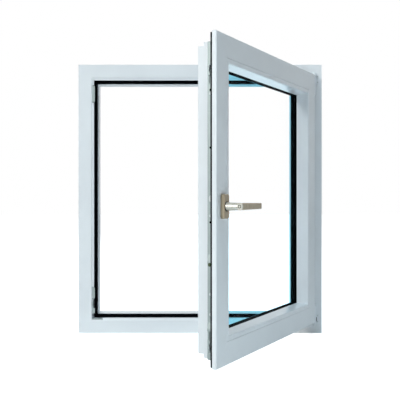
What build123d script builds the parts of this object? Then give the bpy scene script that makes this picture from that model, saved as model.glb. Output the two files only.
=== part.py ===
"""Inward-opening turn-and-tilt window: a welded plastic frame, a glazed sash that stands open on two
side hinges, a lever handle, and the perimeter locking gear that the handle drives.

Millimetres. X runs right as seen from the room, Y points outdoors, Z is up. The origin is the middle of
the frame's bottom face. Sash pieces are drawn where they lie when the window is shut, on planes that
are then swung open about the hinge axis.
"""

import os

from build123d import *

# Outer frame: overall size and the section of its profile
frame_width = 770.0
frame_height = 850.0
frame_depth = 70.0
face_width = 43.0  # flat room face, from the outer edge to the rebate
rebate_depth = 32.0  # room face to the stop that carries the seal
stop_height = 17.0  # how far the stop stands out of the rebate
profile_round = 3.0
edge_round = 1.5
clip_groove_width = 8.0
clip_groove_depth = 3.0
clip_groove_spread = 44.0  # between the two grooves round the outside of the frame

# Sash: how it sits in the frame and the section of its profile
overlap = 8.0  # sash flange over the frame's room face
rebate_air = 12.0  # frame rebate to sash edge
overlap_gap = 5.5  # frame's room face to the back of the sash flange
flange_thickness = 12.5
sash_depth = 62.5
sash_step_depth = 44.0  # front face to the step that meets the frame seal
sash_step_height = 7.5
sash_face_width = 55.0  # flat front face, from the flange edge to the bead
glass_rebate = 52.0  # flange edge to the floor of the glazing rebate
sight_line = 71.5  # flange edge to where the glass starts to show
bead_seat_depth = 5.0
lip_thickness = 7.0
lip_bevel = 6.0

# Glazing: two panes on an edge spacer, held between two seals by the beads
pane_thickness = 4.0
cavity = 8.0
glass_seal = 2.0
seal_width = 11.0
glass_edge_gap = 5.0
spacer_width = 14.0
bead_flat = 12.0
bead_joint = 0.4

# Seals that close on the other half of the window
frame_seal_width = 11.0
frame_seal_inset = 2.5
frame_seal_thickness = 5.0
sash_seal_width = 5.0
sash_seal_inset = 3.0
sash_seal_thickness = 5.0
seal_round = 2.0

# Hinges
open_angle = 62.5
hinge_offset = 8.5  # sash flange edge to the hinge axis
hinge_forward = 11.0  # frame's room face to the hinge axis
knuckle_radius = 7.0
pin_radius = 3.0
pin_clearance = 0.05
knuckle_length = 34.0
knuckle_gap = 0.5
knuckle_end = 5.0  # knuckle's outer end beyond the end of the sash
leaf_depth = 10.0
bracket_width = 24.0
bracket_thickness = 3.0
bracket_corner = 5.0
bracket_web = 9.0
cap_radius = 6.5
cap_thickness = 3.0
cap_chamfer = 1.2

# Locking gear in the groove round the sash
gear_axis = 13.0  # back of the flange to the middle of the groove
faceplate_width = 16.0
faceplate_thickness = 2.5
channel_width = 11.0
channel_depth = 8.0  # sash edge to the bottom of the rod channel
rod_thickness = 2.2
rod_clearance = 0.3
rod_tail = 10.0  # rod beyond the outermost cams
cam_radius = 4.0
cam_height = 9.0  # above the sash edge
cam_chamfer = 0.8
rod_travel = 18.0  # each way from the turn position
slot_clearance = 0.4
upper_cam_drop = 77.0  # top of the faceplate to the upper cam
lower_cam_rise = 40.0  # bottom of the faceplate to the lower cam
lifter_height = 281.0
lifter_above = 17.0
lifter_below = 8.0
lifter_rise = 6.0
ramp_gap = 2.0  # end of the lower cam's slot to the ramp
ramp_length = 20.0
ramp_rise = 6.5
ramp_nose = 5.0
pad_overhang = 2.5  # pad below the end of the faceplate
pad_length = 17.0
pad_rise = 6.0
pad_round = 3.0
block_round = 1.0
bottom_strip_length = 150.0
stay_length = 260.0
stay_width = 12.0
stay_thickness = 3.0

# Keeps screwed to the frame's rebate, opposite the cams
keep_width = 14.0
keep_thickness = 2.0
keep_margin = 3.0  # plate beyond its lips
keep_lip_height = 8.0
keep_lip_thickness = 2.0
keep_lip_gap = 0.8  # lip to a locked cam
upper_lip = (14.0, 65.0)  # from the upper cam's turn position
lower_lips = ((-33.0, -15.0), (15.0, 49.0))  # from the lower cam's turn position
lifter_stud_radius = 4.5
rest_length = 32.0
rest_flat = 10.0
rest_thickness = 4.0
rest_tip = 1.0
rest_corner_gap = 1.0

# Handle
handle_height = 410.0
handle_backset = 34.0  # sash flange edge to the spindle
base_width = 29.0
base_height = 58.0
base_thickness = 10.0
base_corner = 6.0
base_chamfer = 2.2
neck_radius = 10.0
neck_tip_radius = 8.2
neck_seat_depth = 5.0
neck_clearance = 0.1
neck_reach = 36.0  # base's front face to the middle of the grip
grip_length = 112.0
grip_back = 9.0  # grip's near end behind the spindle
grip_height = 17.0
grip_thickness = 12.0
grip_taper = 0.55  # degrees that each side of the grip leans in toward its tip
grip_round = 3.5
grip_end_chamfer = 1.2
button_recess_radius = 4.2
button_recess_depth = 1.5
button_radius = 2.6

# Frame fixings and drainage
screw_radius = 3.75
screw_spread = 550.0
screw_depth = -10.0  # screw line, from the middle of the frame's depth
drain_length = 30.0
drain_width = 5.0
drain_height = 22.0
drain_spread = 480.0
drain_reach = 12.0

# Places that follow from the sizes above
room_face = -frame_depth / 2
stop_face = room_face + rebate_depth
frame_mid = frame_height / 2
sash_width = frame_width - 2 * (face_width - overlap)
sash_height = frame_height - 2 * (face_width - overlap)
flange_back = room_face - overlap_gap
sash_front = flange_back - flange_thickness
sash_edge = overlap + rebate_air
hinge_x = sash_width / 2 + hinge_offset
hinge_y = room_face - hinge_forward
sash_bottom = frame_mid - sash_height / 2
sash_top = frame_mid + sash_height / 2
gear_depth = flange_thickness + gear_axis
gear_y = sash_front + gear_depth
glass_outer = sash_depth - lip_thickness - glass_seal
glass_inner = glass_outer - 2 * pane_thickness - cavity
bead_depth = glass_inner - glass_seal
glass_edge = glass_rebate + glass_edge_gap
strip_bottom = sash_bottom + sash_edge
strip_top = sash_top - sash_edge
upper_cam = strip_top - upper_cam_drop
lower_cam = strip_bottom + lower_cam_rise
cam_slot = 2 * (cam_radius + slot_clearance)

swing = Pos(hinge_x, hinge_y) * Rot(0, 0, open_angle) * Pos(-hinge_x, -hinge_y)


def opened(plane):
    """A plane drawn on the shut sash, carried round the hinge axis to where the sash stands."""
    return Plane(swing * plane.location)


def side_plane(side, width, height, y):
    """Section plane half-way along one side of a rectangle: local x inward, local y outdoors."""
    places = {
        "bottom": ((0, y, frame_mid - height / 2), (0, 0, 1), (-1, 0, 0)),
        "top": ((0, y, frame_mid + height / 2), (0, 0, -1), (1, 0, 0)),
        "left": ((-width / 2, y, frame_mid), (1, 0, 0), (0, 0, 1)),
        "right": ((width / 2, y, frame_mid), (-1, 0, 0), (0, 0, -1)),
    }
    origin, inward, along = places[side]
    return Plane(origin, x_dir=inward, z_dir=along)


def frame_side(side):
    return side_plane(side, frame_width, frame_height, 0)


def sash_side(side):
    return opened(side_plane(side, sash_width, sash_height, sash_front))


def room_plane(y):
    """Upright plane at depth y that faces the room: local x right, local y up from the sill face."""
    return Plane((0, y, 0), x_dir=(1, 0, 0), z_dir=(0, -1, 0))


def mitred_bar(section, plane, length):
    """Runs a section along one side of a rectangle and cuts both ends at 45 degrees."""
    extrude(section, amount=length / 2, both=True)
    for end in (1, -1):
        corner = plane.from_local_coords((0, 0, end * length / 2))
        split(bisect_by=Plane(corner, z_dir=plane.x_dir + plane.z_dir * end), keep=Keep.BOTTOM)


def side_length(side, width, height):
    return width if side in ("bottom", "top") else height


def save(part, name):
    part.label = name
    export_step(part, f"parts/{name}.step")


os.makedirs("parts", exist_ok=True)


# Frame members


def frame_profile(side):
    """One length of the frame's extrusion, drawn in the active part."""
    plane = frame_side(side)
    stop_edge = face_width + stop_height
    with BuildSketch(plane) as section:
        with BuildLine():
            Polyline(
                (0, room_face),
                (0, -room_face),
                (stop_edge, -room_face),
                (stop_edge, stop_face),
                (face_width, stop_face),
                (face_width, room_face),
                close=True,
            )
        make_face()
        fillet(vertices().sort_by_distance((face_width, room_face))[0], profile_round)
        fillet(vertices().sort_by_distance((stop_edge, stop_face))[0], edge_round)
        fillet(vertices().sort_by_distance((stop_edge, -room_face))[0], edge_round)
        with Locations(
            (clip_groove_depth / 2, clip_groove_spread / 2),
            (clip_groove_depth / 2, -clip_groove_spread / 2),
        ):
            Rectangle(clip_groove_depth, clip_groove_width, mode=Mode.SUBTRACT)
    mitred_bar(section.sketch, plane, side_length(side, frame_width, frame_height))


def screw_holes(side):
    """Holes for the wall screws, from the rebate through the back of a jamb."""
    section = frame_side(side)
    start = section.from_local_coords((0, screw_depth, 0))
    with BuildSketch(Plane(start, x_dir=(0, 0, 1), z_dir=section.x_dir)) as holes:
        with GridLocations(screw_spread, 0, 2, 1):
            Circle(screw_radius)
    extrude(holes.sketch, amount=face_width, mode=Mode.SUBTRACT)


with BuildPart() as frame_head:
    frame_profile("top")

with BuildPart() as frame_sill:
    frame_profile("bottom")
    with BuildSketch(room_plane(-room_face)):
        with Locations((-drain_spread / 2, drain_height), (drain_spread / 2, drain_height)):
            SlotOverall(drain_length, drain_width)
    extrude(amount=drain_reach, mode=Mode.SUBTRACT)

with BuildPart() as frame_left_jamb:
    frame_profile("left")
    screw_holes("left")

with BuildPart() as frame_right_jamb:
    frame_profile("right")
    screw_holes("right")

with BuildPart() as frame_seal:
    seal_inset = face_width + frame_seal_inset
    with BuildSketch(room_plane(stop_face)):
        with Locations((0, frame_mid)):
            Rectangle(frame_width - 2 * seal_inset, frame_height - 2 * seal_inset)
            inner = seal_inset + frame_seal_width
            Rectangle(frame_width - 2 * inner, frame_height - 2 * inner, mode=Mode.SUBTRACT)
    extrude(amount=frame_seal_thickness)
    fillet(faces().sort_by(Axis.Y)[0].edges(), seal_round)

save(frame_head.part, "frame_head")
save(frame_sill.part, "frame_sill")
save(frame_left_jamb.part, "frame_left_jamb")
save(frame_right_jamb.part, "frame_right_jamb")
save(frame_seal.part, "frame_seal")


# Keeps, lifter stud and sash rest in the frame's rebate

keep_front = gear_y - cam_radius - keep_lip_gap - keep_lip_thickness


def keep(cam, lips):
    """Plate on the lock-side rebate with lips that hold a cam, each a span from the cam's height."""
    rebate = Plane((-frame_width / 2 + face_width, 0, cam), x_dir=(0, 1, 0), z_dir=(1, 0, 0))
    low = lips[0][0] - keep_margin
    high = lips[-1][1] + keep_margin
    with BuildPart() as plate:
        with BuildSketch(rebate):
            with Locations((keep_front + keep_width / 2, (low + high) / 2)):
                RectangleRounded(keep_width, high - low, keep_lip_thickness)
        extrude(amount=keep_thickness)
        with BuildSketch(rebate):
            for start, end in lips:
                with Locations((keep_front + keep_lip_thickness / 2, (start + end) / 2)):
                    Rectangle(keep_lip_thickness, end - start)
        extrude(amount=keep_lip_height)
        fillet(faces().sort_by(Axis.X)[-1].edges().filter_by(Axis.Y), keep_lip_thickness)
    return plate.part


with BuildPart() as lifter_stud:
    with BuildSketch(Plane((-frame_width / 2 + face_width, gear_y, lifter_height), z_dir=(1, 0, 0))):
        Circle(lifter_stud_radius)
    extrude(amount=keep_thickness)
    chamfer(faces().sort_by(Axis.X)[-1].edges(), keep_thickness / 4)

with BuildPart() as sash_rest:
    rest_corner = (-frame_width / 2 + face_width + rest_corner_gap, gear_y, face_width)
    with BuildSketch(Plane(rest_corner, x_dir=(1, 0, 0), z_dir=(0, -1, 0))):
        with BuildLine():
            Polyline(
                (0, 0),
                (rest_length, 0),
                (rest_length, rest_tip),
                (rest_flat, rest_thickness),
                (0, rest_thickness),
                close=True,
            )
        make_face()
    extrude(amount=keep_width / 2, both=True)

save(keep(upper_cam, [upper_lip]), "upper_keep")
save(keep(lower_cam, lower_lips), "lower_keep")
save(lifter_stud.part, "lifter_stud")
save(sash_rest.part, "sash_rest")


# Hinges: a bracket and a pin on the frame, a knuckle on the sash, at each end of the sash


def hinge_bracket(low):
    """Plate on the frame's room face with a web out to a knuckle that starts at height low."""
    with BuildPart() as bracket:
        with BuildSketch(Plane.XY.offset(low)):
            with Locations((hinge_x, hinge_y)):
                Circle(knuckle_radius)
            with Locations((hinge_x, (hinge_y + room_face) / 2)):
                Rectangle(bracket_web, hinge_forward)
            with Locations((hinge_x + bracket_width / 2 - knuckle_radius, room_face)):
                Rectangle(bracket_width, bracket_thickness, align=(Align.CENTER, Align.MAX))
            with Locations((hinge_x, hinge_y)):
                Circle(pin_radius, mode=Mode.SUBTRACT)
        extrude(amount=knuckle_length)
        fillet(edges().filter_by(Axis.Y).sort_by(Axis.X)[-2:], bracket_corner)
    return bracket.part


def hinge_pin(low, cap_end):
    """Pin through both knuckles, with a chamfered cap on the frame's end: 0 for the foot, 1 for the top."""
    length = 2 * knuckle_length + knuckle_gap
    with BuildPart() as pin:
        with BuildSketch(Plane.XY.offset(low)):
            with Locations((hinge_x, hinge_y)):
                Circle(pin_radius)
        extrude(amount=length)
        with BuildSketch(Plane.XY.offset(low + cap_end * length)):
            with Locations((hinge_x, hinge_y)):
                Circle(cap_radius)
        extrude(amount=(2 * cap_end - 1) * cap_thickness)
        cap_face = faces().sort_by(Axis.Z)[-cap_end]
        chamfer(cap_face.edges(), cap_chamfer)
    return pin.part


def hinge_knuckle(low):
    """Knuckle on a leaf that is screwed to the edge of the sash flange."""
    with BuildPart() as knuckle:
        with BuildSketch(opened(Plane.XY.offset(low))):
            with Locations((hinge_x, hinge_y)):
                Circle(knuckle_radius)
            with Locations((sash_width / 2, sash_front + flange_thickness / 2)):
                Rectangle(hinge_offset, leaf_depth, align=(Align.MIN, Align.CENTER))
            with Locations((hinge_x, hinge_y)):
                Circle(pin_radius + pin_clearance, mode=Mode.SUBTRACT)
        extrude(amount=knuckle_length)
    return knuckle.part


lower_low = sash_bottom - knuckle_end
upper_low = sash_top + knuckle_end - 2 * knuckle_length - knuckle_gap

save(hinge_bracket(lower_low), "lower_hinge_bracket")
save(hinge_pin(lower_low, 0), "lower_hinge_pin")
save(hinge_knuckle(lower_low + knuckle_length + knuckle_gap), "lower_hinge_knuckle")
save(hinge_bracket(upper_low + knuckle_length + knuckle_gap), "upper_hinge_bracket")
save(hinge_pin(upper_low, 1), "upper_hinge_pin")
save(hinge_knuckle(upper_low), "upper_hinge_knuckle")


# Sash members

groove_near = gear_depth - faceplate_width / 2
groove_far = gear_depth + faceplate_width / 2
channel_near = gear_depth - channel_width / 2
channel_far = gear_depth + channel_width / 2


def sash_member(side):
    """One length of the sash extrusion: room flange, gear groove, step, outdoor lip, glazing rebate."""
    plane = sash_side(side)
    lip_start = sash_depth - lip_thickness
    with BuildPart() as member:
        with BuildSketch(plane) as section:
            with BuildLine():
                Polyline(
                    (0, 0),
                    (0, flange_thickness),
                    (sash_edge, flange_thickness),
                    (sash_edge, groove_near),
                    (sash_edge + faceplate_thickness, groove_near),
                    (sash_edge + faceplate_thickness, channel_near),
                    (sash_edge + channel_depth, channel_near),
                    (sash_edge + channel_depth, channel_far),
                    (sash_edge + faceplate_thickness, channel_far),
                    (sash_edge + faceplate_thickness, groove_far),
                    (sash_edge, groove_far),
                    (sash_edge, sash_step_depth),
                    (sash_edge + sash_step_height, sash_step_depth),
                    (sash_edge + sash_step_height, sash_depth),
                    (sight_line - lip_bevel, sash_depth),
                    (sight_line, sash_depth - lip_bevel),
                    (sight_line, lip_start),
                    (glass_rebate, lip_start),
                    (glass_rebate, bead_seat_depth),
                    (sash_face_width, bead_seat_depth),
                    (sash_face_width, 0),
                    close=True,
                )
            make_face()
            fillet(vertices().sort_by_distance((0, 0))[0], profile_round)
            fillet(vertices().sort_by_distance((0, flange_thickness))[0], edge_round)
        mitred_bar(section.sketch, plane, side_length(side, sash_width, sash_height))
    return member.part


def glazing_bead(side):
    """One length of bead: flat beside the sash face, a drafted wall to the glass, a heel under the face."""
    plane = sash_side(side)
    with BuildPart() as bead:
        with BuildSketch(plane) as section:
            with BuildLine():
                Polyline(
                    (sash_face_width + bead_joint, 0),
                    (sash_face_width + bead_flat, 0),
                    (sight_line, bead_depth - edge_round),
                    (sight_line, bead_depth),
                    (glass_rebate, bead_depth),
                    (glass_rebate, bead_seat_depth),
                    (sash_face_width + bead_joint, bead_seat_depth),
                    close=True,
                )
            make_face()
            fillet(vertices().sort_by_distance((sash_face_width + bead_flat, 0))[0], profile_round)
        mitred_bar(section.sketch, plane, side_length(side, sash_width, sash_height))
    return bead.part


sash_pieces = {
    "bottom": ("sash_bottom_rail", "bottom_bead"),
    "top": ("sash_top_rail", "top_bead"),
    "left": ("sash_lock_stile", "lock_side_bead"),
    "right": ("sash_hinge_stile", "hinge_side_bead"),
}
for side, (member_name, bead_name) in sash_pieces.items():
    save(sash_member(side), member_name)
    save(glazing_bead(side), bead_name)


# Glazing and sash seals


def sash_sheet(depth, inset, thickness, width=None):
    """Sheet parallel to the sash, or a ring of the given width, that starts at a depth behind its face."""
    with BuildPart() as sheet:
        with BuildSketch(opened(room_plane(sash_front + depth))):
            with Locations((0, frame_mid)):
                Rectangle(sash_width - 2 * inset, sash_height - 2 * inset)
                if width:
                    hole = inset + width
                    Rectangle(sash_width - 2 * hole, sash_height - 2 * hole, mode=Mode.SUBTRACT)
        extrude(amount=-thickness)
    return sheet.part


save(sash_sheet(glass_inner, glass_edge, pane_thickness), "inner_pane")
save(sash_sheet(glass_outer - pane_thickness, glass_edge, pane_thickness), "outer_pane")
save(sash_sheet(glass_inner + pane_thickness, glass_edge, cavity, spacer_width), "glazing_spacer")
save(sash_sheet(bead_depth, sight_line - seal_width, glass_seal, seal_width), "inner_glass_seal")
save(sash_sheet(glass_outer, sight_line - seal_width, glass_seal, seal_width), "outer_glass_seal")
save(sash_sheet(flange_thickness, sash_seal_inset, sash_seal_thickness, sash_seal_width), "sash_seal")


# Locking gear: strips let into the groove, the rod behind them and its cams

sash_left = -sash_width / 2
lock_edge = sash_left + sash_edge


def lock_plane(depth_from_edge):
    """Upright plane on the shut sash's lock edge: local x outdoors, local y up, facing the frame."""
    place = (lock_edge + depth_from_edge, 0, 0)
    return opened(Plane(place, x_dir=(0, -1, 0), z_dir=(-1, 0, 0)))


strip_mid = (strip_bottom + strip_top) / 2
cams = [(-gear_y, upper_cam), (-gear_y, lower_cam)]

with BuildPart() as lock_faceplate:
    with BuildSketch(lock_plane(faceplate_thickness)):
        with Locations((-gear_y, strip_mid)):
            Rectangle(faceplate_width, strip_top - strip_bottom)
        with Locations(cams):
            SlotOverall(cam_slot + 2 * rod_travel, cam_slot, rotation=90, mode=Mode.SUBTRACT)
    extrude(amount=faceplate_thickness)

with BuildPart() as lock_rod:
    rod_outer = faceplate_thickness + rod_clearance
    with BuildSketch(lock_plane(rod_outer + rod_thickness)):
        with Locations((-gear_y, (upper_cam + lower_cam) / 2)):
            Rectangle(channel_width - 2 * rod_clearance, upper_cam - lower_cam + 2 * rod_tail)
    extrude(amount=rod_thickness)
    with BuildSketch(lock_plane(rod_outer)):
        with Locations(cams):
            Circle(cam_radius)
    extrude(amount=rod_outer + cam_height)
    facing_frame = lock_plane(0)
    cam_tips = faces().sort_by(Axis(facing_frame.origin, facing_frame.z_dir))[-len(cams) :]
    chamfer(cam_tips.edges(), cam_chamfer)


def edge_block(points, rounding):
    """Block on the lock faceplate: an outline of heights and rises, run across the gear groove."""
    middle = (lock_edge, gear_y, 0)
    with BuildPart() as block:
        with BuildSketch(opened(Plane(middle, x_dir=(-1, 0, 0), z_dir=(0, 1, 0)))):
            with BuildLine():
                Polyline(*[(rise, height) for height, rise in points], close=True)
            make_face()
            fillet(vertices().sort_by(Axis.X)[-2:], rounding)
        extrude(amount=channel_width / 2, both=True)
    return block.part


sash_lifter = edge_block(
    [
        (lifter_height + lifter_above, 0),
        (lifter_height, lifter_rise),
        (lifter_height - lifter_below / 2, lifter_rise),
        (lifter_height - lifter_below, 0),
    ],
    block_round,
)
ramp_foot = lower_cam + rod_travel + cam_slot / 2 + ramp_gap
corner_ramp = edge_block(
    [
        (ramp_foot + ramp_length, 0),
        (ramp_foot + ramp_nose, ramp_rise),
        (ramp_foot, ramp_rise),
        (ramp_foot, 0),
    ],
    block_round,
)
pad_foot = strip_bottom - pad_overhang
corner_pad = edge_block(
    [
        (pad_foot + pad_length, 0),
        (pad_foot + pad_length, pad_rise),
        (pad_foot, pad_rise),
        (pad_foot, 0),
    ],
    pad_round,
)


def edge_strip(side, start, end, thickness, width, rise):
    """Strip on the sash edge between two places along a rail, measured from the lock-side flange."""
    plane = side_plane(side, sash_width, sash_height, sash_front)
    with BuildPart() as strip:
        top = plane.from_local_coords((sash_edge - rise, gear_depth, 0))
        face = opened(Plane(top, x_dir=(1, 0, 0), z_dir=-plane.x_dir))
        with BuildSketch(face):
            with Locations((sash_left + (start + end) / 2, 0)):
                Rectangle(end - start, width)
        extrude(amount=-thickness)
    return strip.part


strip_start = sash_edge + faceplate_thickness
strip_end = sash_width - sash_edge
save(lock_faceplate.part, "lock_faceplate")
save(lock_rod.part, "lock_rod")
save(sash_lifter, "sash_lifter")
save(corner_ramp, "corner_ramp")
save(corner_pad, "corner_pad")
save(edge_strip("top", strip_start, strip_end, faceplate_thickness, faceplate_width, 0), "top_faceplate")
save(
    edge_strip(
        "bottom",
        strip_start,
        strip_start + bottom_strip_length,
        faceplate_thickness,
        faceplate_width,
        0,
    ),
    "bottom_faceplate",
)
save(
    edge_strip("top", strip_end - stay_length, strip_end, stay_thickness, stay_width, stay_thickness),
    "stay_arm",
)


# Handle

handle_x = sash_left + handle_backset
base_front = sash_front - base_thickness

with BuildPart() as handle_base:
    facing = opened(room_plane(base_front))
    out_of_sash = Axis(facing.origin, facing.z_dir)
    with BuildSketch(opened(room_plane(sash_front))):
        with Locations((handle_x, handle_height)):
            RectangleRounded(base_width, base_height, base_corner)
    extrude(amount=base_thickness)
    chamfer(faces().sort_by(out_of_sash)[-1].edges(), base_chamfer)
    with BuildSketch(facing):
        with Locations((handle_x, handle_height)):
            Circle(neck_radius + neck_clearance)
    extrude(amount=-neck_seat_depth, mode=Mode.SUBTRACT)

with BuildPart() as handle_lever:
    near_place = (handle_x - grip_back, base_front - neck_reach, handle_height)
    near_end = opened(Plane(near_place, x_dir=(0, -1, 0), z_dir=(1, 0, 0)))
    with BuildSketch(near_end):
        RectangleRounded(grip_thickness, grip_height, grip_round)
    extrude(amount=grip_back + grip_length, taper=grip_taper)
    along_grip = faces().sort_by(Axis(near_end.origin, near_end.z_dir))
    chamfer(along_grip[0].edges() + along_grip[-1].edges(), grip_end_chamfer)
    spindle = opened(Plane((handle_x, base_front, handle_height), x_dir=(1, 0, 0), z_dir=(0, 0, 1)))
    with BuildSketch(spindle):
        with BuildLine():
            Polyline(
                (0, neck_seat_depth),
                (neck_radius, neck_seat_depth),
                (neck_radius, 0),
                (neck_tip_radius, -neck_reach),
                (0, -neck_reach),
                close=True,
            )
        make_face()
    revolve(axis=Axis(spindle.origin, spindle.y_dir))
    with BuildSketch(Plane(near_end.origin, z_dir=-near_end.z_dir)):
        Circle(button_recess_radius)
        Circle(button_radius, mode=Mode.SUBTRACT)
    extrude(amount=-button_recess_depth, mode=Mode.SUBTRACT)

save(handle_base.part, "handle_base")
save(handle_lever.part, "handle_lever")
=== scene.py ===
from math import cos, pi, radians, sin

import bmesh
import bpy
from mathutils import Matrix, Vector


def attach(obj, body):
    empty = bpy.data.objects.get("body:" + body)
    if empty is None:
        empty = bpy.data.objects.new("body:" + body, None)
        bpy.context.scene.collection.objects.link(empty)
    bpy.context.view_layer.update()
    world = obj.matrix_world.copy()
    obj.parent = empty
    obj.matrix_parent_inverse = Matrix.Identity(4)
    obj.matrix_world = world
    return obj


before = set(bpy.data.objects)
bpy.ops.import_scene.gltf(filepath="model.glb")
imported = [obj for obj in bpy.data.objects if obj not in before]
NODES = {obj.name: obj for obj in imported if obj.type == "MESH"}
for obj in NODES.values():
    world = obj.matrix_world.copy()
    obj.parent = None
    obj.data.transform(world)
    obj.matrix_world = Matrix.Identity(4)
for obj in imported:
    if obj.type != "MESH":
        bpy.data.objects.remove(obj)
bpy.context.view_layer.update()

MM = 0.001

# The open sash: its hinge axis in metres, and how far it stands open
HINGE = Vector((0.3585, -0.046, 0.0))
OPEN_ANGLE = radians(62.5)
SWING = (
    Matrix.Translation(HINGE) @ Matrix.Rotation(OPEN_ANGLE, 4, "Z") @ Matrix.Translation(-HINGE)
)

# Places on the sash, in mm, as if it were shut
FACEPLATE_X = -330.0
FACEPLATE_Y = -27.5
TOP_FACEPLATE_Z = 795.0
BOTTOM_FACEPLATE_Z = 55.0
LOCK_SCREW_HEIGHTS = (673.0, 388.0, 205.0, 158.0)
LOCK_COVER_HEIGHT = 428.0
LOCK_PLUG_HEIGHTS = (681.5, 547.0, 373.0)
SEAM_HEIGHT = 632.0
SEAM_SHIFTS = (-6.0, -3.0, 0.0, 3.0, 6.0)
LIFTER_INSERT_HEIGHT = 274.5
TOP_SCREWS_X = (-270.0, -120.0, 30.0)
BOTTOM_SCREWS_X = (-300.0, -200.0)
SPINDLE = Vector((-316.0, -63.0, 410.0))
BUTTON = Vector((-324.5, -99.0, 410.0))
# Painted highlight: the lever's colour turns bright within a reach of this point, standing in for the
# light's sheen on the neck and near end
NECK_HIGHLIGHT_MIDDLE = Vector((-324.0, -82.0, 410.0))  # middle of the handle's bright neck and end
NECK_HIGHLIGHT_REACH = 23.8

# Places on the frame, in mm
KEEP_X = -340.0
KEEP_Y = -26.3
KEEP_SCREW_HEIGHTS = (735.0, 780.0, 66.0, 103.0, 140.0)
BRACKET_SCREW_X = 371.0
BRACKET_Y = -38.0
BRACKET_SCREW_HEIGHTS = (37.5, 56.5, 793.5, 812.5)
# Painted shade: a dark strip on the lower hinge's bracket beside its knuckle, where a shadow falls
SHADE_STRIP_X = 367.6
SHADE_STRIP_HEIGHT = 44.5
FRAME_FACE_Y = -35.0
REBATE_X = 342.0
REBATE_LOW = 43.0
REBATE_HIGH = 807.0

# Lip round the rebate: reach and depth in mm, and the share of that reach on three of the sides
LIP_SECTION = [(-0.5, 1.9), (6.6, 3.0), (7.0, 3.4), (7.0, 4.8), (-0.5, 4.8)]
LIP_LEFT = 0.8
LIP_HEAD = 0.9
LIP_SILL = 0.7

# Turned forms of the small fittings: radius and height in mm
SCREW = [(3.6, -0.2), (3.6, 0.3), (2.9, 0.9), (1.8, 1.0), (1.5, 0.3)]
SMALL_SCREW = [(2.6, -0.2), (2.6, 0.3), (2.1, 0.8), (1.3, 0.9), (1.0, 0.3)]
COVER = [(4.2, -0.2), (4.2, 0.5), (3.6, 0.8)]
PLUG = [(2.8, -0.2), (2.8, 0.3), (2.2, 0.5)]
SEAM = [(0.45, -0.2), (0.45, 0.1), (0.3, 0.15)]
INSERT = [(4.0, -0.2), (4.0, 6.2), (3.2, 6.8)]
# The dark strip beside the lower hinge's knuckle is painted shade
SHADE_STRIP = [(1.3, -0.2), (1.3, 0.25), (0.9, 0.4)]
# Painted shade: a dark ring where the gap round the neck's seat lies in shadow
NECK_SHADE_RING = [(10.2, 0.0), (11.7, 0.0), (11.5, 0.6), (10.4, 0.9)]
# A dark ring round a button on the grip's near end, partly painted shade where that end lies in shadow
BUTTON_SHADE_RING = [(2.8, 0.05), (4.05, 0.05), (3.9, 0.6), (2.9, 0.6)]
TURNED_SIDES = 20

# How much longer than wide the oval fittings are
COVER_STRETCH = 1.9
INSERT_STRETCH = 1.1
SHADE_STRIP_STRETCH = 5.5

# Ways that a fitting faces
LEFT = (-1.0, 0.0, 0.0)
RIGHT = (1.0, 0.0, 0.0)
FRONT = (0.0, -1.0, 0.0)
UP = (0.0, 0.0, 1.0)
DOWN = (0.0, 0.0, -1.0)

# Softened edges, with lengths in metres
JOIN_DISTANCE = 0.000002
FLAT_ANGLE = radians(0.5)
SHARP_ANGLE = radians(28.0)
EDGE_SEGMENTS = 2
PROFILE_EDGE = 0.0007
HANDLE_EDGE = 0.0005

# Colours of the finishes: the darker and the lighter one that each varies between
PROFILE_WHITE = ((0.785, 0.815, 0.84), (0.81, 0.84, 0.86))
HINGE_WHITE = ((0.74, 0.775, 0.80), (0.78, 0.81, 0.84))
INSERT_GREEN = ((0.02, 0.035, 0.010), (0.045, 0.07, 0.02))
GEAR_GREY = ((0.29, 0.345, 0.34), (0.39, 0.445, 0.44))
SCREW_GREY = ((0.50, 0.54, 0.54), (0.62, 0.66, 0.66))
SEAL_BLACK = ((0.0008, 0.0012, 0.002), (0.002, 0.003, 0.004))
SPACER_BLACK = ((0.0008, 0.001, 0.0015), (0.002, 0.0025, 0.003))
BRONZE = ((0.29, 0.235, 0.16), (0.35, 0.29, 0.20))
# The lever's painted highlight round its neck and near end
HIGHLIGHT_BRONZE = ((0.50, 0.48, 0.42), (0.60, 0.58, 0.51))

# Gloss of the finishes
PROFILE_ROUGHNESS = 0.24
HINGE_ROUGHNESS = 0.28
INSERT_ROUGHNESS = 0.5
PLASTIC_UNEVEN = (-0.02, 0.03)
STEEL_ROUGHNESS = (0.38, 0.52)
STEEL_METALLIC = 0.35
BASE_ROUGHNESS = 0.34
LEVER_ROUGHNESS = 0.3
BRONZE_UNEVEN = (-0.04, 0.05)
BRONZE_METALLIC = 0.45
BLACK_ROUGHNESS = 0.7
BLACK_SPECULAR = 0.015

# Texture of the finishes: scale and detail of the noise, and the span of it that a colour spreads over
CLOUD_SCALE = 9.0
GLOSS_SCALE = 60.0
DUST_SCALE = 140.0
SPECK_SCALE = 700.0
PEEL_SCALE = 900.0
RUBBER_SKIN_SCALE = 1500.0
STEEL_GRAIN_SCALE = 420.0
BRONZE_GRAIN_SCALE = 500.0
STEEL_BRUSHING = (1.0, 1.0, 0.02)
BRONZE_BRUSHING = (1.0, 1.0, 0.08)
CLOUD_DETAIL = 4.0
GRAIN_DETAIL = 3.0
SKIN_DETAIL = 2.0
CLOUD_SPAN = (0.35, 0.65)
GRAIN_SPAN = (0.3, 0.7)
DUST_SPAN = (0.4, 0.75)
SPECK_SPAN = (0.4, 0.7)

# Relief of the finishes: strength, and depth in metres
PEEL_RELIEF = (0.012, 0.0004)
RUBBER_RELIEF = (0.1, 0.0003)
STEEL_RELIEF = (0.08, 0.0002)
BRONZE_RELIEF = (0.05, 0.0002)

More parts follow.
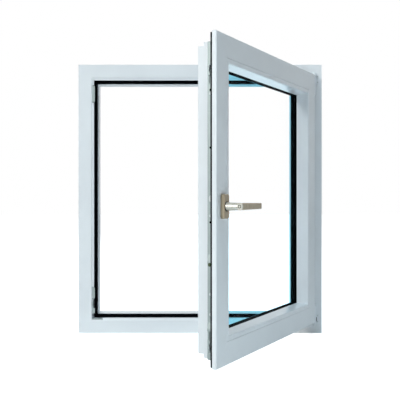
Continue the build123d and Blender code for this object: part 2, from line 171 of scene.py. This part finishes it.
# Glass: its body colour, and what light keeps on its way through it to a surface
PANE_TINT = (0.62, 0.92, 1.0)
PANE_CLEAR = (0.92, 0.93, 0.94)
PANE_IOR = 1.02
PANES = 2

# Camera, fitted to the photo: place in metres, lens and sensor in mm
CAMERA_PLACE = (-0.0005, -2.3537, 0.434)
CAMERA_LENS = 65.9
CAMERA_SENSOR = 36.0
HORIZON_SHIFT = -0.00975

# Light: each lamp's name, place, size, power, colour and whether it shows in glossy surfaces
AMBIENT = 0.07
AMBIENT_COLOUR = (0.72, 0.89, 1.0)
LAMP_AIM = Vector((0.0, -0.2, 0.45))
LAMPS = [
    ("key", (-4.5, -5.6, 2.7), 1.3, 206.0, (1.0, 1.0, 0.97), True),
    ("front", (-2.9, -5.2, 4.6), 1.0, 88.0, (0.88, 0.96, 1.0), False),
    ("top", (0.5, -0.9, 6.5), 1.5, 212.0, (0.73, 0.90, 1.0), False),
    ("glint", (2.4, -3.7, 0.35), 0.4, 4.0, (1.0, 0.99, 0.97), True),
    ("low_fill", (0.45, -1.3, 0.08), 0.3, 1.4, (0.80, 0.94, 1.0), False),
    ("rear", (-1.6, 4.6, 2.6), 1.5, 45.0, (0.94, 0.98, 1.0), False),
]

# Floor: the glow is what the eye sees on it besides its own light, so that it meets the white
FLOOR_SIZE = 30.0
FLOOR_GREY = 0.9
FLOOR_ROUGHNESS = 0.9
FLOOR_GLOW = 0.88
FLOOR_MIRRORED = 0.3  # the glow that glossy surfaces show
FIRST_BOUNCE = 0.5  # a ray's count of dull surfaces is below this until it meets one

# Which CAD nodes share a finish
FRAME_NODES = ["frame_head", "frame_sill", "frame_left_jamb", "frame_right_jamb"]
SASH_NODES = ["sash_top_rail", "sash_bottom_rail", "sash_lock_stile", "sash_hinge_stile"]
BEAD_NODES = ["top_bead", "bottom_bead", "lock_side_bead", "hinge_side_bead"]
PROFILE_NODES = FRAME_NODES + SASH_NODES + BEAD_NODES
HINGE_NODES = [
    "lower_hinge_bracket",
    "upper_hinge_bracket",
    "lower_hinge_knuckle",
    "upper_hinge_knuckle",
    "lower_hinge_pin",
    "upper_hinge_pin",
]
SEAL_NODES = ["frame_seal", "sash_seal", "inner_glass_seal", "outer_glass_seal"]
GEAR_NODES = [
    "lock_faceplate",
    "top_faceplate",
    "bottom_faceplate",
    "stay_arm",
    "upper_keep",
    "lower_keep",
    "lifter_stud",
    "sash_rest",
    "sash_lifter",
    "corner_ramp",
    "corner_pad",
    "lock_rod",
]


# Nodes that the materials are made of


def new_material(name):
    material = bpy.data.materials.new(name)
    material.use_nodes = True
    tree = material.node_tree
    tree.nodes.clear()
    output = tree.nodes.new("ShaderNodeOutputMaterial")
    shader = tree.nodes.new("ShaderNodeBsdfPrincipled")
    tree.links.new(shader.outputs["BSDF"], output.inputs["Surface"])
    return material, tree, shader


def surface(tree):
    """The socket that a material's last shader goes into."""
    output = next(node for node in tree.nodes if node.type == "OUTPUT_MATERIAL")
    return output.inputs["Surface"]


def rgb(r, g, b):
    return (r, g, b, 1.0)


def grey(value):
    return rgb(value, value, value)


def noise(tree, scale, detail=CLOUD_DETAIL, stretch=(1.0, 1.0, 1.0)):
    """Noise in object space, stretched along an axis by a factor below one."""
    place = tree.nodes.new("ShaderNodeTexCoord")
    mapping = tree.nodes.new("ShaderNodeMapping")
    mapping.inputs["Scale"].default_value = stretch
    texture = tree.nodes.new("ShaderNodeTexNoise")
    texture.inputs["Scale"].default_value = scale
    texture.inputs["Detail"].default_value = detail
    tree.links.new(place.outputs["Object"], mapping.inputs["Vector"])
    tree.links.new(mapping.outputs["Vector"], texture.inputs["Vector"])
    return texture.outputs["Fac"]


def ramp(tree, factor, span, low, high):
    """Colour that goes from low to high over a span of the factor."""
    node = tree.nodes.new("ShaderNodeValToRGB")
    first, last = node.color_ramp.elements
    first.position, last.position = span
    first.color = low
    last.color = high
    tree.links.new(factor, node.inputs["Fac"])
    return node.outputs["Color"]


def tone(tree, factor, span, colours):
    """Colour between a finish's darker and lighter one."""
    low, high = colours
    return ramp(tree, factor, span, rgb(*low), rgb(*high))


def uneven(tree, factor, roughness, change):
    """Roughness that varies about a middle value."""
    low, high = change
    return ramp(tree, factor, GRAIN_SPAN, grey(roughness + low), grey(roughness + high))


def bump(tree, shader, height, relief):
    strength, distance = relief
    node = tree.nodes.new("ShaderNodeBump")
    node.inputs["Strength"].default_value = strength
    node.inputs["Distance"].default_value = distance
    tree.links.new(height, node.inputs["Height"])
    tree.links.new(node.outputs["Normal"], shader.inputs["Normal"])


def math_node(tree, operation, first, second):
    """Math node of two inputs, the first a link and the second a link or a number."""
    node = tree.nodes.new("ShaderNodeMath")
    node.operation = operation
    tree.links.new(first, node.inputs[0])
    if isinstance(second, float):
        node.inputs[1].default_value = second
    else:
        tree.links.new(second, node.inputs[1])
    return node.outputs["Value"]


def mixed(tree, factor, first, second):
    node = tree.nodes.new("ShaderNodeMixShader")
    tree.links.new(factor, node.inputs["Fac"])
    tree.links.new(first, node.inputs[1])
    tree.links.new(second, node.inputs[2])
    return node.outputs["Shader"]


def added(tree, first, second):
    node = tree.nodes.new("ShaderNodeAddShader")
    tree.links.new(first, node.inputs[0])
    tree.links.new(second, node.inputs[1])
    return node.outputs["Shader"]


# Materials


def plastic(name, colours, roughness):
    """Satin profile plastic: faint cloudiness, an uneven gloss and a fine orange-peel skin."""
    material, tree, shader = new_material(name)
    colour = tone(tree, noise(tree, CLOUD_SCALE), CLOUD_SPAN, colours)
    tree.links.new(colour, shader.inputs["Base Color"])
    spread = uneven(tree, noise(tree, GLOSS_SCALE), roughness, PLASTIC_UNEVEN)
    tree.links.new(spread, shader.inputs["Roughness"])
    bump(tree, shader, noise(tree, PEEL_SCALE, SKIN_DETAIL), PEEL_RELIEF)
    return material


def dull_black(name, scale, span, colours):
    """Dull black that varies a little, returned with its nodes."""
    material, tree, shader = new_material(name)
    tree.links.new(tone(tree, noise(tree, scale), span, colours), shader.inputs["Base Color"])
    shader.inputs["Roughness"].default_value = BLACK_ROUGHNESS
    shader.inputs["Specular IOR Level"].default_value = BLACK_SPECULAR
    return material, tree, shader


def rubber():
    """Black seal rubber, slightly dusty."""
    material, tree, shader = dull_black("seal_rubber", DUST_SCALE, DUST_SPAN, SEAL_BLACK)
    bump(tree, shader, noise(tree, RUBBER_SKIN_SCALE, SKIN_DETAIL), RUBBER_RELIEF)
    return material


def spacer():
    """Black edge spacer between the panes."""
    return dull_black("spacer_black", SPECK_SCALE, SPECK_SPAN, SPACER_BLACK)[0]


def steel(name, colours):
    """Dull zinc-plated steel of the locking gear, faintly green, brushed along the strips."""
    material, tree, shader = new_material(name)
    grain = noise(tree, STEEL_GRAIN_SCALE, GRAIN_DETAIL, STEEL_BRUSHING)
    tree.links.new(tone(tree, grain, GRAIN_SPAN, colours), shader.inputs["Base Color"])
    shader.inputs["Metallic"].default_value = STEEL_METALLIC
    smooth, rough = STEEL_ROUGHNESS
    spread = ramp(tree, grain, GRAIN_SPAN, grey(smooth), grey(rough))
    tree.links.new(spread, shader.inputs["Roughness"])
    bump(tree, shader, grain, STEEL_RELIEF)
    return material


def painted_neck_highlight(tree, dull, bright):
    """Painted highlight: colour that turns bright within a reach of the handle's neck, where the
    light's sheen falls.
    """
    place = tree.nodes.new("ShaderNodeTexCoord")
    away = tree.nodes.new("ShaderNodeVectorMath")
    away.operation = "DISTANCE"
    away.inputs[1].default_value = SWING @ (NECK_HIGHLIGHT_MIDDLE * MM)
    tree.links.new(place.outputs["Object"], away.inputs[0])
    choice = tree.nodes.new("ShaderNodeMix")
    choice.data_type = "RGBA"
    near = math_node(tree, "LESS_THAN", away.outputs["Value"], NECK_HIGHLIGHT_REACH * MM)
    tree.links.new(near, choice.inputs["Factor"])
    tree.links.new(dull, choice.inputs["A"])
    tree.links.new(bright, choice.inputs["B"])
    return choice.outputs["Result"]


def handle_metal(name, roughness, neck_highlight):
    """Champagne-bronze handle metal with a fine brushed grain; the lever gets a painted highlight round
    its neck.
    """
    material, tree, shader = new_material(name)
    grain = noise(tree, BRONZE_GRAIN_SCALE, GRAIN_DETAIL, BRONZE_BRUSHING)
    colour = tone(tree, grain, GRAIN_SPAN, BRONZE)
    if neck_highlight:
        colour = painted_neck_highlight(tree, colour, tone(tree, grain, GRAIN_SPAN, HIGHLIGHT_BRONZE))
    tree.links.new(colour, shader.inputs["Base Color"])
    shader.inputs["Metallic"].default_value = BRONZE_METALLIC
    spread = uneven(tree, grain, roughness, BRONZE_UNEVEN)
    tree.links.new(spread, shader.inputs["Roughness"])
    bump(tree, shader, grain, BRONZE_RELIEF)
    return material


def glass():
    """Clear glass with a faint blue-green body. Light on its way to a surface passes through it."""
    material, tree, shader = new_material("pane_glass")
    shader.inputs["Base Color"].default_value = rgb(*PANE_TINT)
    shader.inputs["Roughness"].default_value = 0.0
    shader.inputs["IOR"].default_value = PANE_IOR
    shader.inputs["Transmission Weight"].default_value = 1.0
    clear = tree.nodes.new("ShaderNodeBsdfTransparent")
    clear.inputs["Color"].default_value = rgb(*PANE_CLEAR)
    path = tree.nodes.new("ShaderNodeLightPath")
    light = math_node(tree, "MAXIMUM", path.outputs["Is Shadow Ray"], path.outputs["Is Diffuse Ray"])
    last = mixed(tree, light, shader.outputs["BSDF"], clear.outputs["BSDF"])
    tree.links.new(last, surface(tree))
    return material


def paint(names, material):
    for name in names:
        slots = NODES[name].material_slots
        if not slots:
            NODES[name].data.materials.append(material)
        for slot in slots:
            slot.material = material


RUBBER = rubber()
WHITE = plastic("profile_white", PROFILE_WHITE, PROFILE_ROUGHNESS)
GREEN = plastic("gear_green", INSERT_GREEN, INSERT_ROUGHNESS)
BRIGHT_STEEL = steel("screw_steel", SCREW_GREY)
paint(PROFILE_NODES, WHITE)
paint(HINGE_NODES, plastic("hinge_white", HINGE_WHITE, HINGE_ROUGHNESS))
paint(SEAL_NODES, RUBBER)
paint(GEAR_NODES, steel("gear_steel", GEAR_GREY))
paint(["glazing_spacer"], spacer())
paint(["handle_base"], handle_metal("handle_bronze", BASE_ROUGHNESS, False))
# The lever's colour carries a painted highlight round its neck
paint(["handle_lever"], handle_metal("handle_lever_metal", LEVER_ROUGHNESS, True))
paint(["inner_pane", "outer_pane"], glass())


# Softened edges


def soften(names, width):
    """Joins each node's faces and rounds its hard edges by a small width."""
    for name in names:
        node = NODES[name]
        node.modifiers.new("join", "WELD").merge_threshold = JOIN_DISTANCE
        flat = node.modifiers.new("flat", "DECIMATE")
        flat.decimate_type = "DISSOLVE"
        flat.angle_limit = FLAT_ANGLE
        edge = node.modifiers.new("edge", "BEVEL")
        edge.width = width
        edge.segments = EDGE_SEGMENTS
        edge.limit_method = "ANGLE"
        edge.angle_limit = SHARP_ANGLE
        edge.harden_normals = True


soften(PROFILE_NODES, PROFILE_EDGE)
soften(["handle_base"], HANDLE_EDGE)


# Small fittings: screws, plugs, an insert and the rebate's lip, and dark rings and a dark strip that
# paint shade in gaps


def lathe(mesh, place, profile, closed):
    """Adds a turned form to a mesh: radius and height in mm, about a place's own Z axis."""
    rings = []
    for radius, height in profile:
        ring = []
        for step in range(TURNED_SIDES):
            turn = 2 * pi * step / TURNED_SIDES
            point = Vector((radius * cos(turn), radius * sin(turn), height)) * MM
            ring.append(mesh.verts.new(place @ point))
        rings.append(ring)
    pairs = list(zip(rings, rings[1:]))
    if closed:
        pairs.append((rings[-1], rings[0]))
    for lower, upper in pairs:
        for step in range(TURNED_SIDES):
            after = (step + 1) % TURNED_SIDES
            mesh.faces.new((lower[step], lower[after], upper[after], upper[step]))
    if not closed:
        mesh.faces.new(list(reversed(rings[0])))
        mesh.faces.new(rings[-1])


def seat(point, facing, swung, stretch=1.0):
    """Place on the frame or on the swung sash, its Z axis facing out and its Y axis stretched."""
    turn = Vector(facing).to_track_quat("Z", "Y").to_matrix().to_4x4()
    here = Matrix.Translation(Vector(point) * MM) @ turn @ Matrix.Diagonal((1.0, stretch, 1.0, 1.0))
    return SWING @ here if swung else here


def add_piece(name, mesh, material):
    """Makes a mesh into a piece of the window."""
    bmesh.ops.recalc_face_normals(mesh, faces=mesh.faces)
    data = bpy.data.meshes.new(name)
    mesh.to_mesh(data)
    mesh.free()
    data.materials.append(material)
    piece = bpy.data.objects.new(name, data)
    bpy.context.collection.objects.link(piece)
    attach(piece, "root")


def fitting(name, forms, material):
    """One piece of several turned forms, each with its place, profile and whether it is a ring."""
    mesh = bmesh.new()
    for place, profile, closed in forms:
        lathe(mesh, place, profile, closed)
    add_piece(name, mesh, material)


def node_span(name, axis):
    """Lowest and highest place of a CAD node along an axis, in mm."""
    node = NODES[name]
    along = "XYZ".index(axis)
    places = [(node.matrix_world @ vertex.co)[along] / MM for vertex in node.data.vertices]
    return min(places), max(places)


def lip_run(mesh, stops):
    """Adds a length of the rebate's lip through stops of X, Z and which way the lip reaches there."""
    rings = []
    for x, z, reach_x, reach_z in stops:
        ring = []
        for reach, depth in LIP_SECTION:
            point = Vector((x + reach_x * reach, FRAME_FACE_Y + depth, z + reach_z * reach))
            ring.append(mesh.verts.new(point * MM))
        rings.append(ring)
    for first, second in zip(rings, rings[1:]):
        for corner in range(len(LIP_SECTION)):
            after = (corner + 1) % len(LIP_SECTION)
            mesh.faces.new((first[corner], first[after], second[after], second[corner]))
    mesh.faces.new(rings[0])
    mesh.faces.new(rings[-1])


def rebate_lip():
    """Narrow sloping lip round the frame's rebate, left out at the keeps and the sash rest."""
    lower_end = node_span("lower_keep", "Z")[1]
    upper_start, upper_end = node_span("upper_keep", "Z")
    rest_end = node_span("sash_rest", "X")[1]
    mesh = bmesh.new()
    lip_run(mesh, [(-REBATE_X, lower_end, LIP_LEFT, 0), (-REBATE_X, upper_start, LIP_LEFT, 0)])
    lip_run(
        mesh,
        [
            (-REBATE_X, upper_end, LIP_LEFT, 0),
            (-REBATE_X, REBATE_HIGH, LIP_LEFT, -LIP_HEAD),
            (REBATE_X, REBATE_HIGH, -1, -LIP_HEAD),
            (REBATE_X, REBATE_LOW, -1, LIP_SILL),
            (rest_end, REBATE_LOW, 0, LIP_SILL),
        ],
    )
    add_piece("rebate_lip", mesh, WHITE)


def on_lock_edge(height, shift=0.0):
    """Point on the faceplate of the sash's free edge."""
    return (FACEPLATE_X, FACEPLATE_Y + shift, height)


fitting(
    "faceplate_screws",
    [(seat(on_lock_edge(height), LEFT, True), SCREW, False) for height in LOCK_SCREW_HEIGHTS]
    + [(seat((x, FACEPLATE_Y, TOP_FACEPLATE_Z), UP, True), SCREW, False) for x in TOP_SCREWS_X]
    + [(seat((x, FACEPLATE_Y, BOTTOM_FACEPLATE_Z), DOWN, True), SCREW, False) for x in BOTTOM_SCREWS_X]
    + [(seat(on_lock_edge(LOCK_COVER_HEIGHT), LEFT, True, COVER_STRETCH), COVER, False)],
    BRIGHT_STEEL,
)
fitting(
    "faceplate_plugs",
    [(seat(on_lock_edge(height), LEFT, True), PLUG, False) for height in LOCK_PLUG_HEIGHTS]
    + [(seat(on_lock_edge(SEAM_HEIGHT, shift), LEFT, True), SEAM, False) for shift in SEAM_SHIFTS],
    RUBBER,
)
fitting(
    "lifter_insert",
    [(seat(on_lock_edge(LIFTER_INSERT_HEIGHT), LEFT, True, INSERT_STRETCH), INSERT, False)],
    GREEN,
)
fitting(
    "keep_screws",
    [(seat((KEEP_X, KEEP_Y, height), RIGHT, False), SCREW, False) for height in KEEP_SCREW_HEIGHTS],
    BRIGHT_STEEL,
)
fitting(
    "hinge_screws",
    [
        (seat((BRACKET_SCREW_X, BRACKET_Y, height), FRONT, False), SMALL_SCREW, False)
        for height in BRACKET_SCREW_HEIGHTS
    ],
    BRIGHT_STEEL,
)
# Painted shade: a dark strip where the knuckle's shadow falls on the lower bracket
shade_strip_place = seat((SHADE_STRIP_X, BRACKET_Y, SHADE_STRIP_HEIGHT), FRONT, False, SHADE_STRIP_STRETCH)
fitting("hinge_shade_strip", [(shade_strip_place, SHADE_STRIP, False)], RUBBER)
rebate_lip()
# Painted shade: dark ring in the shadowed gap round the neck's seat
fitting("neck_shade_ring", [(seat(SPINDLE, FRONT, True), NECK_SHADE_RING, True)], RUBBER)
# Dark ring round the grip's button, partly painted shade of the grip's shadowed near end
fitting("button_shade_ring", [(seat(BUTTON, LEFT, True), BUTTON_SHADE_RING, True)], RUBBER)


# Floor, world, light and camera


def eye_through_glass(tree, path):
    """One for a ray from the eye through a pane, and zero once it has left a dull surface."""
    direct = math_node(tree, "LESS_THAN", path.outputs["Diffuse Depth"], FIRST_BOUNCE)
    return math_node(tree, "MULTIPLY", path.outputs["Is Transmission Ray"], direct)


def behind_panes(share):
    """Colour and strength that read as plain white once the tinted panes have dimmed them."""
    raised = [1.0 / tint**PANES - 1.0 + share for tint in PANE_TINT]
    top = max(raised)
    return rgb(*[value / top for value in raised]), top


def glow(tree, colour, strength):
    node = tree.nodes.new("ShaderNodeEmission")
    node.inputs["Color"].default_value = colour
    tree.links.new(strength, node.inputs["Strength"])
    return node.outputs["Emission"]


def white_floor():
    """Pale floor: the eye sees it nearly white, through the panes too, and it keeps the shadow."""
    bpy.ops.mesh.primitive_plane_add(size=FLOOR_SIZE, location=(0.0, 0.0, 0.0))
    floor = bpy.context.object
    floor.name = "floor"
    material, tree, shader = new_material("floor_white")
    shader.inputs["Base Color"].default_value = grey(FLOOR_GREY)
    shader.inputs["Roughness"].default_value = FLOOR_ROUGHNESS
    path = tree.nodes.new("ShaderNodeLightPath")
    direct = math_node(tree, "MULTIPLY", path.outputs["Is Camera Ray"], FLOOR_GLOW)
    mirrored = math_node(tree, "MULTIPLY", path.outputs["Is Glossy Ray"], FLOOR_MIRRORED)
    plain = glow(tree, grey(1.0), math_node(tree, "MAXIMUM", direct, mirrored))
    colour, strength = behind_panes(FLOOR_GLOW)
    through = glow(tree, colour, math_node(tree, "MULTIPLY", eye_through_glass(tree, path), strength))
    glows = added(tree, plain, through)
    tree.links.new(added(tree, shader.outputs["BSDF"], glows), surface(tree))
    floor.data.materials.append(material)


def background(tree, colour, strength):
    node = tree.nodes.new("ShaderNodeBackground")
    node.inputs["Color"].default_value = colour
    node.inputs["Strength"].default_value = strength
    return node.outputs["Background"]


def world_light():
    """White to the eye, to metal and through glass; a plain soft level on the object."""
    world = bpy.data.worlds.new("studio")
    bpy.context.scene.world = world
    world.use_nodes = True
    tree = world.node_tree
    tree.nodes.clear()
    output = tree.nodes.new("ShaderNodeOutputWorld")
    path = tree.nodes.new("ShaderNodeLightPath")
    seen = math_node(tree, "MAXIMUM", path.outputs["Is Camera Ray"], path.outputs["Is Glossy Ray"])
    soft = background(tree, rgb(*AMBIENT_COLOUR), AMBIENT)
    plain = mixed(tree, seen, soft, background(tree, grey(1.0), 1.0))
    last = mixed(tree, eye_through_glass(tree, path), plain, background(tree, *behind_panes(1.0)))
    tree.links.new(last, output.inputs["Surface"])


def lamp(name, place, size, power, colour, glossy):
    light = bpy.data.lights.new(name, "AREA")
    light.size = size
    light.energy = power
    light.color = colour
    holder = bpy.data.objects.new(name, light)
    bpy.context.collection.objects.link(holder)
    holder.location = place
    holder.rotation_euler = (LAMP_AIM - holder.location).to_track_quat("-Z", "Y").to_euler()
    holder.visible_camera = False
    holder.visible_glossy = glossy


def photo_camera():
    lens = bpy.data.cameras.new("camera")
    lens.lens = CAMERA_LENS
    lens.sensor_width = CAMERA_SENSOR
    lens.shift_y = HORIZON_SHIFT
    camera = bpy.data.objects.new("camera", lens)
    bpy.context.collection.objects.link(camera)
    camera.location = CAMERA_PLACE
    camera.rotation_euler = (pi / 2, 0.0, 0.0)
    bpy.context.scene.camera = camera


white_floor()
world_light()
for settings in LAMPS:
    lamp(*settings)
photo_camera()
bpy.context.scene.view_settings.view_transform = "Standard"
